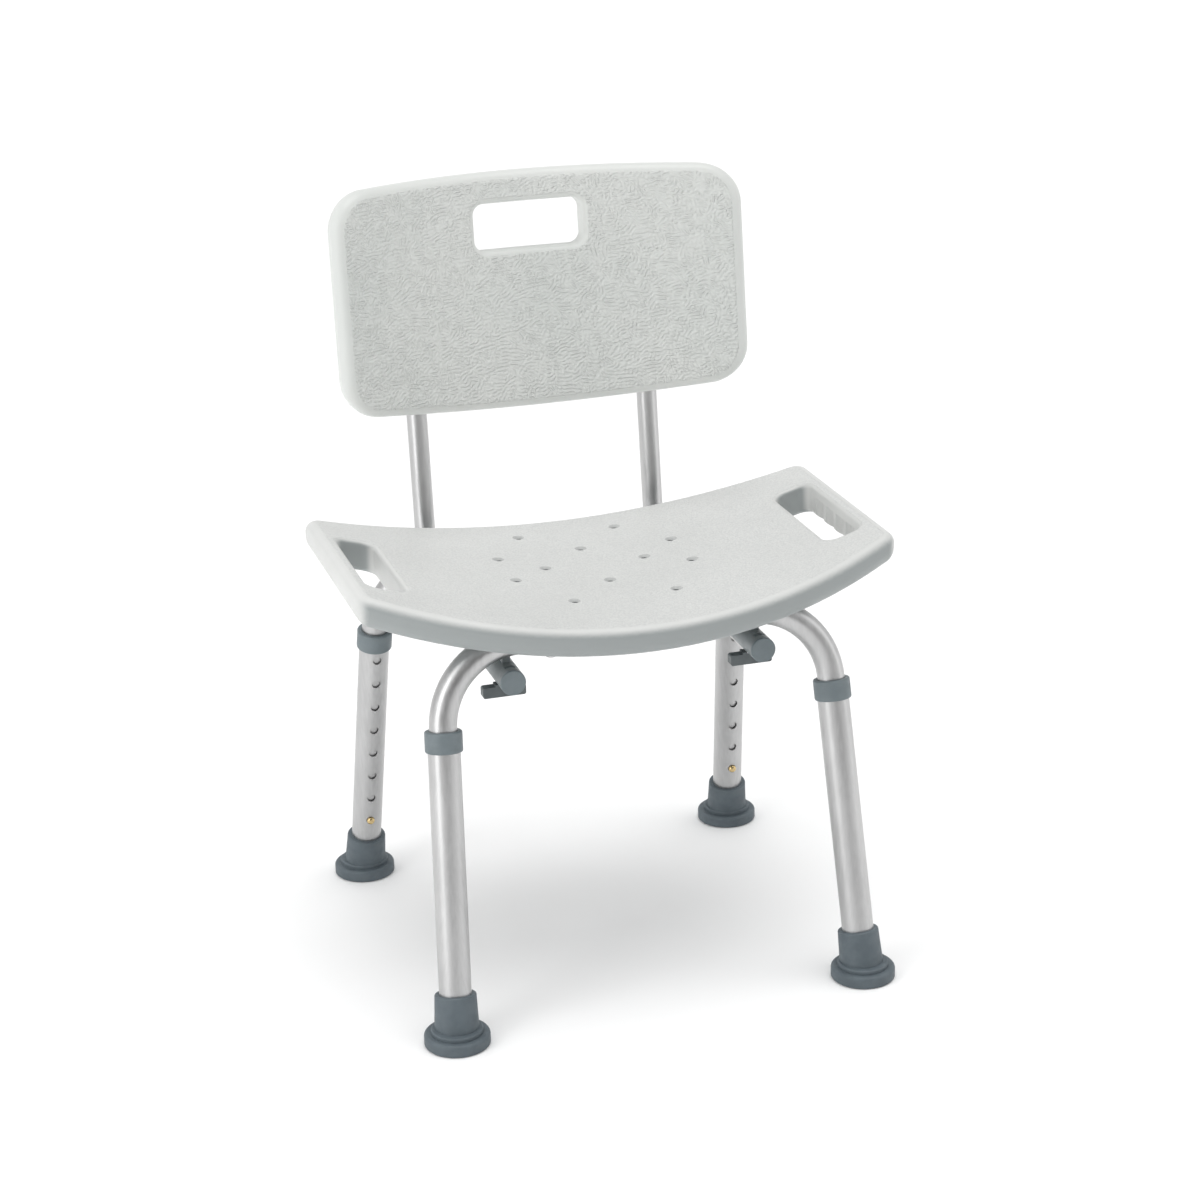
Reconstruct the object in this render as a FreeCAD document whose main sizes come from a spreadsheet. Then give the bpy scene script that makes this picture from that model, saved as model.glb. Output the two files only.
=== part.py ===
import FreeCAD, Part
import os
import Sketcher

# A shower chair with a removable backrest, in millimetres.
# X runs to the sitter's left, the front faces -Y, and +Z is up. The origin is on the floor,
# under the middle of the whole chair.

V = FreeCAD.Vector
DOC = FreeCAD.newDocument("ShowerChair")
SHEET = DOC.addObject("Spreadsheet::Sheet", "Sizes")

DRIVING_SIZES = [
    # the whole chair
    ("base_shift", -4.8, "from the middle of the chair's depth to the middle of the four feet"),
    ("slack", 0.3, "gap between plastic or rubber and a moving tube"),
    # legs: a straight line from the floor, leaning in as it rises
    ("foot_x", 186, "foot centre from the middle, sideways"),
    ("foot_y", 182, "foot centre from the middle of the feet, front to back"),
    ("lean_side", 0.043, "sideways lean, per unit of height"),
    ("lean_deep", 0.195, "front-to-back lean, per unit of height"),
    ("leg_od", 28, "extension tube"),
    ("leg_wall", 1.3, "extension tube"),
    ("leg_from", 9, "lower end of the extension tube, along the leg"),
    ("leg_to", 268, "upper end of the extension tube, along the leg"),
    ("hole_first", 67.2, "lowest adjusting hole, along the leg"),
    ("hole_pitch", 25.4, "step between adjusting holes"),
    ("hole_dia", 8, "adjusting hole"),
    ("collar_od", 32.4, "collar"),
    ("collar_from", 252.9, "lower edge of the collar, along the leg"),
    ("collar_to", 271.2, "upper edge of the collar, along the leg"),
    ("collar_round", 1.6, "rounding of the collar's outer edges"),
    # rubber tip
    ("sole_dia", 57, "sole flange"),
    ("sole_high", 10.5, "sole flange"),
    ("sole_round", 3, "rounding of the flange's edges"),
    ("step_dia", 45, "raised ring above the flange"),
    ("step_high", 14.5, "top of the raised ring"),
    ("sleeve_low_dia", 39, "sleeve at its foot"),
    ("sleeve_top_dia", 36, "sleeve at its rim"),
    ("sleeve_to", 43, "rim of the sleeve, along the leg"),
    ("socket_from", 7.5, "floor of the socket, along the leg"),
    ("tread_deep", 1.2, "ring grooves in the sole"),
    # bent leg frames
    ("frame_od", 24, "frame tube"),
    ("frame_wall", 1.5, "frame tube"),
    ("frame_run_z", 333, "height of the frame's cross run"),
    ("frame_bend", 70, "bend radius of the frame, on its centre line"),
    ("frame_from", 52, "lower end of the frame tube, along the leg"),
    # snap buttons and their springs, measured from the leg's axis
    ("button_dia", 7.4, "snap button"),
    ("button_tip", 17.2, "top of the button's dome"),
    ("button_foot", 8, "face of the spring that carries the button"),
    ("button_rim_dia", 9.4, "button's flange inside the tube"),
    ("button_rim", 1, "thickness of the button's flange"),
    ("button_dome", 2.7, "rounding of the button's dome"),
    ("clip_back", 9.4, "outer face of the hairpin's other leg"),
    ("clip_strip", 0.6, "thickness of the hairpin's strip"),
    ("clip_wide", 7, "width of the hairpin's strip"),
    ("clip_from", 60, "open end of the hairpin, along the leg"),
    ("clip_bend", 88, "start of the hairpin's bend, along the leg"),
    # seat
    ("seat_half", 240, "half the seat's width"),
    ("seat_front", 119, "front edge at the seat's ends"),
    ("seat_back", 107.5, "back edge at the seat's ends"),
    ("seat_front_bow", 55, "bow of the front edge"),
    ("seat_back_bow", 27, "bow of the back edge"),
    ("seat_top_z", 351.6, "top of the seat in the middle"),
    ("seat_thick", 27, "seat"),
    ("seat_dish", 39.5, "rise of the seat's top from the middle to the ends"),
    ("seat_corner", 16, "corners of the seat, in plan"),
    ("seat_round", 9, "rounding of the seat's upper edges"),
    ("seat_under_round", 16, "rounding of the seat's lower edges"),
    ("grip_in", 189.5, "hand hole's inner side"),
    ("grip_out", 223, "hand hole's outer side"),
    ("grip_mid_y", -14.5, "middle of the hand hole"),
    ("grip_long", 136, "length of the hand hole"),
    ("grip_corner", 11, "corners of the hand hole"),
    ("grip_round", 4, "rounding of the hand hole's rim"),
    ("finger_pitch", 24.5, "step between finger scallops"),
    ("finger_rad", 15, "radius of a finger scallop"),
    ("finger_deep", 4, "depth of a finger scallop"),
    ("finger_skin", 9, "plain rim above the finger scallops"),
    ("drain_dia", 6.4, "drain hole"),
    ("drain_mouth", 12.6, "dimple round a drain hole, just above the seat's top"),
    ("drain_dip", 2.2, "depth of the dimple"),
    ("drain_over", 0.9, "height of the dimple's mouth over the seat's top"),
    ("drain_mid_y", -2.5, "middle of the drain holes' pattern"),
    # receivers, their caps and saddles
    ("post_x", 112, "receivers and posts, from the middle"),
    ("receiver_z", 300, "height of the receivers' axes"),
    ("receiver_od", 22.2, "receiver tube"),
    ("receiver_wall", 1.4, "receiver tube"),
    ("receiver_front", -128, "front end of the receiver"),
    ("receiver_back", 122, "back end of the receiver"),
    ("cap_disc", 2.2, "disc of the end cap"),
    ("cap_plug", 18, "length of the end cap's plug"),
    ("slot_y", -119, "slot in the top of the receiver, for the cap's tongue"),
    ("slot_wide", 9, "slot, sideways"),
    ("slot_deep", 4, "slot, front to back"),
    ("tongue_deep", 2, "the cap's tongue, front to back"),
    ("saddle_wide", 7, "saddle block, sideways"),
    ("saddle_deep", 14, "saddle block, front to back"),
    ("saddle_in", 16, "from the cross run to the middle of the saddle, towards the chair's middle"),
    # backrest posts
    ("post_od", 19, "post tube"),
    ("post_wall", 1.5, "post tube"),
    ("post_bend", 50, "bend radius of the post, on its centre line"),
    ("post_front", -104, "front end of the post, inside the receiver"),
    ("post_ref_z", 380, "height at which the post's place is given"),
    ("post_ref_y", 182.3, "post's axis at that height"),
    ("recline", 0.122, "backward lean of the post, per unit of height"),
    ("post_top_z", 604, "upper end of the post"),
    # backrest panel, in its own leaning plane
    ("panel_mid_z", 556, "middle of the panel, as a height on the posts"),
    ("panel_ahead", 12, "panel's middle surface ahead of the posts' axes"),
    ("panel_half", 192.5, "half the panel's width"),
    ("panel_foot", 93.5, "lower edge at the panel's ends, below its middle"),
    ("panel_top", 104, "upper edge at the panel's ends, above its middle"),
    ("panel_top_bow", 7, "bow of the top edge"),
    ("panel_foot_bow", 13.5, "bow of the lower edge"),
    ("panel_thick", 28, "panel"),
    ("panel_wrap", 54, "how far the ends come forward of the middle"),
    ("panel_corner", 37, "corners of the panel"),
    ("panel_round", 9, "rounding of the panel's front edges"),
    ("panel_back_round", 13, "rounding of the panel's back edges"),
    ("handle_half", 52, "half the handle opening's width"),
    ("handle_foot", 39.5, "lower side of the handle opening, above the panel's middle"),
    ("handle_top", 82.5, "upper side of the handle opening"),
    ("handle_corner", 10, "corners of the handle opening"),
    ("handle_round", 6, "rounding of the handle opening's rim"),
    ("boss_wide", 32, "bosses on the panel's back, which the posts lie in"),
    ("boss_foot", -88, "lower end of the bosses, above the panel's middle"),
    ("boss_top", 44, "upper end of the bosses"),
    ("screw_low", -72, "lower panel screws, above the panel's middle"),
    ("screw_high", 28, "upper panel screws"),
    # fasteners
    ("screw_dia", 5, "screws"),
    ("screw_head_dia", 9.6, "screw heads"),
    ("screw_head", 3.2, "screw heads"),
    ("screw_hole", 5.6, "clearance holes for the screws"),
    ("hex_size", 3.4, "hexagon recess, corner to corner"),
    ("frame_screw_x", 75, "seat screws, from the middle"),
    ("insert_dia", 9, "threaded inserts in the seat"),
    ("insert_long", 8, "threaded inserts in the seat"),
    ("pad_dia", 16, "saddle washers under the frames"),
    ("pad_low", 3, "thickness of the saddle washer under the tube"),
    # backrest locks
    ("lock_y", -95, "lock pin, front to back"),
    ("lock_pin_dia", 6, "lock pin"),
    ("lock_pin_top", 294.5, "top of the lock pin"),
    ("lock_hole", 7, "holes for the lock pin"),
    ("tab_half", 19, "half the pull tab's width"),
    ("tab_deep", 9, "pull tab, front to back"),
    ("tab_foot", 276.5, "underside of the pull tab"),
    ("tab_top", 286, "top of the pull tab's bar"),
    ("tab_stem_half", 8, "half the width of the pull tab's stem"),
    ("tab_round", 2, "rounding of the pull tab"),
    ("leaf_thick", 1, "leaf spring"),
    ("leaf_wide", 10, "leaf spring"),
    ("leaf_back", -44, "rear end of the leaf spring"),
    ("rivet_y", -51, "leaf spring's rivet"),
    ("rivet_dia", 4, "rivet shank"),
    ("rivet_head_dia", 7, "rivet head"),
    ("rivet_head", 1.4, "rivet head"),
]
HOLE_COUNT = 8
FINGERS = 4


class Size:
    """A length or ratio: its present value, and the spreadsheet expression that gives it."""

    def __init__(self, value, text=None):
        self.value = float(value)
        self.text = text if text else "(%s)" % repr(float(value))

    def __add__(self, other):
        other = as_size(other)
        return Size(self.value + other.value, "(%s + %s)" % (self.text, other.text))

    def __sub__(self, other):
        other = as_size(other)
        return Size(self.value - other.value, "(%s - %s)" % (self.text, other.text))

    def __mul__(self, other):
        other = as_size(other)
        return Size(self.value * other.value, "(%s * %s)" % (self.text, other.text))

    def __truediv__(self, other):
        other = as_size(other)
        return Size(self.value / other.value, "(%s / %s)" % (self.text, other.text))

    def __neg__(self):
        return Size(-self.value, "(-1 * %s)" % self.text)


def as_size(number):
    return number if isinstance(number, Size) else Size(number)


def root(number):
    return Size(number.value ** 0.5, "sqrt(%s)" % number.text)


def bow_radius(half_chord, rise):
    """Radius of the arc that rises by this much over this half chord."""
    return (half_chord * half_chord + rise * rise) / (rise * 2)


def fill_sheet():
    values = {}
    for row, (alias, value, note) in enumerate(DRIVING_SIZES, start=1):
        SHEET.set("A%d" % row, str(value))
        SHEET.setAlias("A%d" % row, alias)
        SHEET.set("B%d" % row, note)
        values[alias] = Size(value, "Sizes." + alias)
    DOC.recompute()
    return values


S = fill_sheet()
ZERO = Size(0)
NODES = {}


# ---------------------------------------------------------------- document helpers


def at(x, y, z):
    """A point given from the middle of the feet, in the chair's own frame."""
    return V(x, y + S["base_shift"].value, z)


def node(label, thing):
    """Names a finished sub-part: its label names its file."""
    thing.Label = label
    NODES[label] = thing
    return thing


def bind(thing, prop, size):
    thing.setExpression(prop, size.text)


def new_body(name, placement):
    body = DOC.addObject("PartDesign::Body", name)
    body.Placement = placement
    return body


def new_sketch(body, plane, name, lift=None):
    """A sketch on one of the body's own origin planes, lifted off it by a size."""
    sketch = body.newObject("Sketcher::SketchObject", name)
    support = [feature for feature in body.Origin.OriginFeatures if feature.Role == plane][0]
    sketch.AttachmentSupport = [(support, "")]
    sketch.MapMode = "FlatFace"
    if lift is not None:
        sketch.AttachmentOffset = FreeCAD.Placement(V(0, 0, lift.value), FreeCAD.Rotation())
        bind(sketch, "AttachmentOffset.Base.z", lift)
    return sketch


def fix_point(sketch, geometry, vertex, x, y):
    for kind, size in (("DistanceX", x), ("DistanceY", y)):
        number = sketch.addConstraint(Sketcher.Constraint(kind, -1, 1, geometry, vertex, size.value))
        bind(sketch, "Constraints[%d]" % number, size)


def fix_radius(sketch, geometry, radius):
    number = sketch.addConstraint(Sketcher.Constraint("Radius", geometry, radius.value))
    bind(sketch, "Constraints[%d]" % number, radius)


def draw_circle(sketch, radius, x=ZERO, y=ZERO):
    circle = Part.Circle(V(x.value, y.value, 0), V(0, 0, 1), radius.value)
    geometry = sketch.addGeometry(circle, False)
    fix_radius(sketch, geometry, radius)
    fix_point(sketch, geometry, 3, x, y)


def arc_between(start, end, radius, turn):
    """The short arc from start to end; turn is 1 to the left and -1 to the right."""
    middle = (start + end) * 0.5
    along = end - start
    rise = max(radius ** 2 - (along.Length / 2) ** 2, 0) ** 0.5
    sideways = V(-along.y, along.x, 0).normalize()
    centre = middle + sideways * (rise * turn)
    first, last = (start, end) if turn > 0 else (end, start)
    circle = Part.Circle(centre, V(0, 0, 1), radius)
    return Part.ArcOfCircle(circle, circle.parameter(first), circle.parameter(last))


def draw_path(sketch, points, arcs=None, closed=True):
    """Lines through the points; arcs maps a segment's number to its (radius, turn)."""
    arcs = arcs or {}
    corners = [V(x.value, y.value, 0) for x, y in points]
    count = len(points) if closed else len(points) - 1
    segments = []
    for i in range(count):
        start = corners[i]
        end = corners[(i + 1) % len(corners)]
        if i in arcs:
            radius, turn = arcs[i]
            geometry = sketch.addGeometry(arc_between(start, end, radius.value, turn), False)
            first, last = (1, 2) if turn > 0 else (2, 1)
            if (start - end).Length < 1.999 * radius.value:
                fix_radius(sketch, geometry, radius)
        else:
            geometry = sketch.addGeometry(Part.LineSegment(start, end), False)
            first, last = 1, 2
        segments.append((geometry, first, last))
    for i, (geometry, first, last) in enumerate(segments):
        fix_point(sketch, geometry, first, *points[i])
        if closed or i + 1 < count:
            follower, start_vertex, _ = segments[(i + 1) % count]
            link = Sketcher.Constraint("Coincident", geometry, last, follower, start_vertex)
            sketch.addConstraint(link)
        else:
            fix_point(sketch, geometry, last, *points[i + 1])


def draw_rounded_box(sketch, low_x, low_y, high_x, high_y, radius):
    points = [
        (low_x + radius, low_y),
        (high_x - radius, low_y),
        (high_x, low_y + radius),
        (high_x, high_y - radius),
        (high_x - radius, high_y),
        (low_x + radius, high_y),
        (low_x, high_y - radius),
        (low_x, low_y + radius),
    ]
    draw_path(sketch, points, {i: (radius, 1) for i in (1, 3, 5, 7)})


def pad(body, sketch, length, midplane=False, backwards=False):
    feature = body.newObject("PartDesign::Pad", sketch.Name + "_pad")
    feature.Profile = sketch
    feature.Length = length.value
    feature.Midplane = midplane
    feature.Reversed = backwards
    bind(feature, "Length", length)
    DOC.recompute()
    return feature


def pocket(body, sketch, length, midplane=False, backwards=False):
    """Cuts the sketch out of the body, and fails if nothing was cut."""
    before = body.Shape.Volume
    feature = body.newObject("PartDesign::Pocket", sketch.Name + "_pocket")
    feature.Profile = sketch
    feature.Length = length.value
    feature.Midplane = midplane
    feature.Reversed = backwards
    bind(feature, "Length", length)
    DOC.recompute()
    if before - body.Shape.Volume < 1:
        raise RuntimeError(feature.Name + " cuts nothing")
    return feature


def fillet(body, radius, wanted):
    """Rounds the body's edges for which wanted(edge) is true."""
    base = body.Tip
    names = ["Edge%d" % (i + 1) for i, edge in enumerate(base.Shape.Edges) if wanted(edge)]
    if not names:
        raise RuntimeError("no edges to round on " + body.Name)
    feature = body.newObject("PartDesign::Fillet", body.Name + "_fillet")
    feature.Base = (base, names)
    feature.Radius = radius.value
    bind(feature, "Radius", radius)
    DOC.recompute()
    return feature


def turned(name, profile, placement):
    """A round piece from its half profile of (radius, height) corners, about its own Z axis."""
    body = new_body(name, placement)
    sketch = new_sketch(body, "XZ_Plane", name + "_profile")
    draw_path(sketch, profile)
    feature = body.newObject("PartDesign::Revolution", name + "_turned")
    feature.Profile = sketch
    feature.ReferenceAxis = (sketch, ["V_Axis"])
    feature.Angle = 360
    DOC.recompute()
    return body


def round_rings(body, radius, *rings):
    """Rounds the circular edges with these (radius, height) places."""

    def wanted(edge):
        if not isinstance(edge.Curve, Part.Circle):
            return False
        return any(
            abs(edge.Curve.Radius - ring_radius.value) < 0.01
            and abs(edge.Curve.Center.z - height.value) < 0.01
            for ring_radius, height in rings
        )

    return fillet(body, radius, wanted)


def tube(name, outer_radius, inner_radius, start, end, placement):
    """A straight tube, ring or washer along its own Z axis."""
    body = new_body(name, placement)
    sketch = new_sketch(body, "XY_Plane", name + "_section", start)
    draw_circle(sketch, outer_radius)
    draw_circle(sketch, inner_radius)
    pad(body, sketch, end - start)
    return body


def cylinder(name, radius, height, placement):
    rod = DOC.addObject("Part::Cylinder", name)
    rod.Placement = placement
    bind(rod, "Radius", radius)
    bind(rod, "Height", height)
    return rod


def box(name, long, deep, high, placement):
    block = DOC.addObject("Part::Box", name)
    block.Placement = placement
    bind(block, "Length", long)
    bind(block, "Width", deep)
    bind(block, "Height", high)
    return block


def fused(name, things):
    union = DOC.addObject("Part::MultiFuse", name)
    union.Shapes = things
    return union


def cut(name, base, tools):
    """The base with the tools cut out of it."""
    difference = DOC.addObject("Part::Cut", name)
    difference.Base = base
    difference.Tool = tools[0] if len(tools) == 1 else fused(name + "_tools", tools)
    return difference


def group(name, things):
    """Identical fasteners in one node, as separate solids."""
    bundle = DOC.addObject("Part::Compound", name)
    bundle.Links = things
    return bundle


def aimed(position, along, up=V(1, 0, 0)):
    """A placement whose local Z runs along a direction, with its local X near up."""
    return FreeCAD.Placement(position, FreeCAD.Rotation(up, V(0, 0, 0), along, "ZXY"))


# ---------------------------------------------------------------- legs

SIDES = {"left": -1, "right": 1}
ENDS = {"front": -1, "rear": 1}
CORNERS = [(end, side) for end in ENDS for side in SIDES]

leg_r = S["leg_od"] / 2
leg_bore = leg_r - S["leg_wall"]
frame_r = S["frame_od"] / 2
frame_bore = frame_r - S["frame_wall"]


class Leg:
    """One leg's axis: up is along it, and inward faces the other end of the chair."""

    def __init__(self, end, side):
        self.name = "%s_%s" % (end, side)
        self.foot = at(SIDES[side] * S["foot_x"].value, ENDS[end] * S["foot_y"].value, 0)
        side_lean = -SIDES[side] * S["lean_side"].value
        deep_lean = -ENDS[end] * S["lean_deep"].value
        self.up = V(side_lean, deep_lean, 1).normalize()
        self.inward = V(0, -ENDS[end], -S["lean_deep"].value).normalize()
        across = self.inward.cross(self.up)
        self.place = FreeCAD.Placement(
            self.foot, FreeCAD.Rotation(across, self.inward, self.up, "ZYX")
        )

    def crossing(self, along):
        """A placement on the axis, with its local Z pointing inward."""
        return aimed(self.foot + self.up * along.value, self.inward, self.up)


LEGS = [Leg(end, side) for end, side in CORNERS]


def make_leg_tube(leg):
    name = "leg_tube_" + leg.name
    body = tube(name, leg_r, leg_bore, S["leg_from"], S["leg_to"], leg.place)
    holes = new_sketch(body, "XZ_Plane", name + "_holes")
    for i in range(HOLE_COUNT):
        draw_circle(holes, S["hole_dia"] / 2, ZERO, S["hole_first"] + S["hole_pitch"] * i)
    pocket(body, holes, leg_r + 1)
    return node(name, body)


def make_collar(leg):
    name = "collar_" + leg.name
    rim = frame_r + S["slack"]
    outer = S["collar_od"] / 2
    profile = [
        (leg_r, S["collar_from"]),
        (outer, S["collar_from"]),
        (outer, S["collar_to"]),
        (rim, S["collar_to"]),
        (rim, S["leg_to"]),
        (leg_r, S["leg_to"]),
    ]
    body = turned(name, profile, leg.place)
    round_rings(body, S["collar_round"], (outer, S["collar_from"]), (outer, S["collar_to"]))
    return node(name, body)


def make_foot_tip(leg):
    """A level flange, with a sleeve along the leg, bored for the extension tube."""
    name = "foot_tip_" + leg.name
    sole = S["sole_dia"] / 2
    tread = S["tread_deep"]
    flange_profile = [
        (ZERO, ZERO),
        (Size(8), ZERO),
        (Size(8), tread),
        (Size(11), tread),
        (Size(11), ZERO),
        (Size(17), ZERO),
        (Size(17), tread),
        (Size(20), tread),
        (Size(20), ZERO),
        (sole, ZERO),
        (sole, S["sole_high"]),
        (S["step_dia"] / 2, S["sole_high"]),
        (S["step_dia"] / 2, S["step_high"]),
        (ZERO, S["step_high"]),
    ]
    flange = turned(name + "_flange", flange_profile, FreeCAD.Placement(leg.foot, FreeCAD.Rotation()))
    round_rings(flange, S["sole_round"], (sole, S["sole_high"]))
    round_rings(flange, S["sole_round"] / 3, (sole, ZERO))
    round_rings(flange, S["sole_round"] / 2, (S["step_dia"] / 2, S["step_high"]))
    sleeve_profile = [
        (ZERO, S["socket_from"]),
        (S["sleeve_low_dia"] / 2, S["socket_from"]),
        (S["sleeve_top_dia"] / 2, S["sleeve_to"]),
        (ZERO, S["sleeve_to"]),
    ]
    sleeve = turned(name + "_sleeve", sleeve_profile, leg.place)
    round_rings(sleeve, S["sole_round"] / 2, (S["sleeve_top_dia"] / 2, S["sleeve_to"]))
    socket_lift = FreeCAD.Placement(V(0, 0, S["socket_from"].value), FreeCAD.Rotation())
    socket_place = leg.place.multiply(socket_lift)
    socket = cylinder(name + "_socket", leg_r, S["sleeve_to"], socket_place)
    return node(name, cut(name + "_bored", fused(name + "_blank", [flange, sleeve]), [socket]))


def make_tip_washer(leg):
    name = "tip_washer_" + leg.name
    body = tube(name, leg_r - 0.2, frame_r / 2, S["socket_from"], S["leg_from"], leg.place)
    return node(name, body)


def make_snap_button(leg):
    name = "snap_button_" + leg.name
    radius = S["button_dia"] / 2
    rim = S["button_rim_dia"] / 2
    profile = [
        (ZERO, S["button_foot"]),
        (rim, S["button_foot"]),
        (rim, S["button_foot"] + S["button_rim"]),
        (radius, S["button_foot"] + S["button_rim"]),
        (radius, S["button_tip"]),
        (ZERO, S["button_tip"]),
    ]
    body = turned(name, profile, leg.crossing(S["hole_first"]))
    round_rings(body, S["button_dome"], (radius, S["button_tip"]))
    return node(name, body)


def make_button_spring(leg):
    """A hairpin of spring strip: one leg carries the button, the other rests on the tube."""
    name = "button_spring_" + leg.name
    body = new_body(name, leg.place)
    sketch = new_sketch(body, "YZ_Plane", name + "_outline")
    front = S["button_foot"]
    back = -S["clip_back"]
    strip = S["clip_strip"]
    outer = (front - back) / 2
    points = [
        (front, S["clip_from"]),
        (front, S["clip_bend"]),
        (back, S["clip_bend"]),
        (back, S["clip_from"]),
        (back + strip, S["clip_from"]),
        (back + strip, S["clip_bend"]),
        (front - strip, S["clip_bend"]),
        (front - strip, S["clip_from"]),
    ]
    draw_path(sketch, points, {1: (outer, 1), 5: (outer - strip, -1)})
    pad(body, sketch, S["clip_wide"], midplane=True)
    return node(name, body)


# ---------------------------------------------------------------- leg frames


def frame_sweep(name, end, outer_radius, inner_radius=None):
    """A tube or rod along one U: half of it is swept, then mirrored.

    The U lies in the plane of X and the leg's lean, so its heights are slant heights."""
    tilt = ENDS[end] * S["lean_deep"].value
    leaning = FreeCAD.Rotation(V(0, 0, 1), V(0, -tilt, 1))
    body = new_body(name, FreeCAD.Placement(at(0, ENDS[end] * S["foot_y"].value, 0), leaning))
    slant = root(S["lean_deep"] * S["lean_deep"] + 1)
    run = S["frame_run_z"] * slant
    lean = S["lean_side"] / slant
    across = root(lean * lean + 1)
    bend = S["frame_bend"]
    bend_end = run - bend + bend * lean / across
    bend_start_x = S["foot_x"] - lean * bend_end - bend / across
    low = S["frame_from"] / across
    points = [
        (ZERO, run),
        (bend_start_x, run),
        (bend_start_x + bend / across, bend_end),
        (S["foot_x"] - lean * low, low),
    ]
    path = new_sketch(body, "XZ_Plane", name + "_path")
    draw_path(path, points, {1: (bend, -1)}, closed=False)
    section = new_sketch(body, "YZ_Plane", name + "_section")
    draw_circle(section, outer_radius, ZERO, run)
    if inner_radius is not None:
        draw_circle(section, inner_radius, ZERO, run)
    pipe = body.newObject("PartDesign::AdditivePipe", name + "_pipe")
    pipe.Profile = section
    pipe.Spine = (path, ["Edge1", "Edge2", "Edge3"])
    DOC.recompute()
    mirrored = body.newObject("PartDesign::Mirrored", name + "_mirrored")
    mirrored.Originals = [pipe]
    plane = [feature for feature in body.Origin.OriginFeatures if feature.Role == "YZ_Plane"][0]
    mirrored.MirrorPlane = (plane, [""])
    body.Tip = mirrored
    DOC.recompute()
    return body


def frame_run_y(end):
    """Where the frame's cross run lies, front to back, from the middle of the feet."""
    return ENDS[end] * (S["foot_y"] - S["lean_deep"] * S["frame_run_z"]).value


def seat_screw_places():
    places = []
    for end in ENDS:
        for side in SIDES.values():
            places.append((end, side * S["frame_screw_x"].value, frame_run_y(end)))
    return places


def make_leg_frame(end):
    name = end + "_leg_frame"
    blank = frame_sweep(name + "_blank", end, frame_r, frame_bore)
    tools = []
    for screw_end, x, y in seat_screw_places():
        if screw_end == end:
            place = FreeCAD.Placement(at(x, y, S["frame_run_z"].value - 20), FreeCAD.Rotation())
            tools.append(cylinder(name + "_screw_hole", S["screw_hole"] / 2, Size(40), place))
    for leg in LEGS:
        if leg.name.startswith(end):
            tools.append(
                cylinder(name + "_hole", S["hole_dia"] / 2, frame_r + 1, leg.crossing(S["hole_first"]))
            )
    return node(name, cut(name + "_drilled", blank, tools))


# ---------------------------------------------------------------- seat

DRAIN_PLACES = [(-45.6, 0), (45.6, 0), (0, -45.1), (0, 45.1)]
DRAIN_PLACES += [(x, y) for x in (-45.6, 45.6) for y in (-90.4, 90.4)]
DRAIN_PLACES += [(x, y) for x in (-80.4, 80.4) for y in (-29.8, 29.8)]


def arc_rise(x, half, rise):
    """Height at x of the arc that starts level at 0 and has risen by rise at half."""
    radius = bow_radius(half, rise).value
    return radius - (radius ** 2 - x ** 2) ** 0.5


def seat_top_at(x):
    return S["seat_top_z"].value + arc_rise(x, S["seat_half"], S["seat_dish"])


def draw_barrel(sketch, half, front, back, front_bow, back_bow):
    """A rectangle whose front and back sides bow outward."""
    points = [(-half, -front), (half, -front), (half, back), (-half, back)]
    arcs = {0: (bow_radius(half, front_bow), 1), 2: (bow_radius(half, back_bow), 1)}
    draw_path(sketch, points, arcs)


def draw_frame_box(sketch, half_x, half_y):
    """A large rectangle that surrounds an outline, so that a pocket trims to the outline."""
    draw_path(sketch, [(-half_x, -half_y), (half_x, -half_y), (half_x, half_y), (-half_x, half_y)])


def dished_slab(body, name, half, rise, thick, level, depth):
    """A slab whose section is a band between two concentric arcs, rising to its ends."""
    upper = bow_radius(half, rise)
    lower = upper + thick
    spread = half * 1.03
    upper_end = level + upper - root(upper * upper - spread * spread)
    lower_end = level + upper - root(lower * lower - spread * spread)
    points = [(-spread, lower_end), (spread, lower_end), (spread, upper_end), (-spread, upper_end)]
    sketch = new_sketch(body, "XZ_Plane", name + "_band")
    draw_path(sketch, points, {0: (lower, 1), 2: (upper, -1)})
    pad(body, sketch, depth, midplane=True)


def is_along(edge, direction):
    """True for a straight edge in this direction of the body's own frame."""
    ends = [vertex.Point for vertex in edge.Vertexes]
    return len(ends) == 2 and (ends[0] - ends[1]).cross(direction).Length < 0.01


def is_upright(edge):
    return is_along(edge, V(0, 0, 1))


def middle_of(edge):
    return edge.valueAt((edge.FirstParameter + edge.LastParameter) / 2)


def is_rim(edge):
    """True for an edge that isn't upright: it lies on the top or the bottom face."""
    return not is_upright(edge)


def in_grip(edge):
    """True for an edge of either hand hole."""
    middle = edge.CenterOfMass
    inside_x = S["grip_in"].value - 1 < abs(middle.x) < S["grip_out"].value + 1
    inside_y = abs(middle.y - S["grip_mid_y"].value) < S["grip_long"].value / 2 + 1
    return inside_x and inside_y


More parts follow.
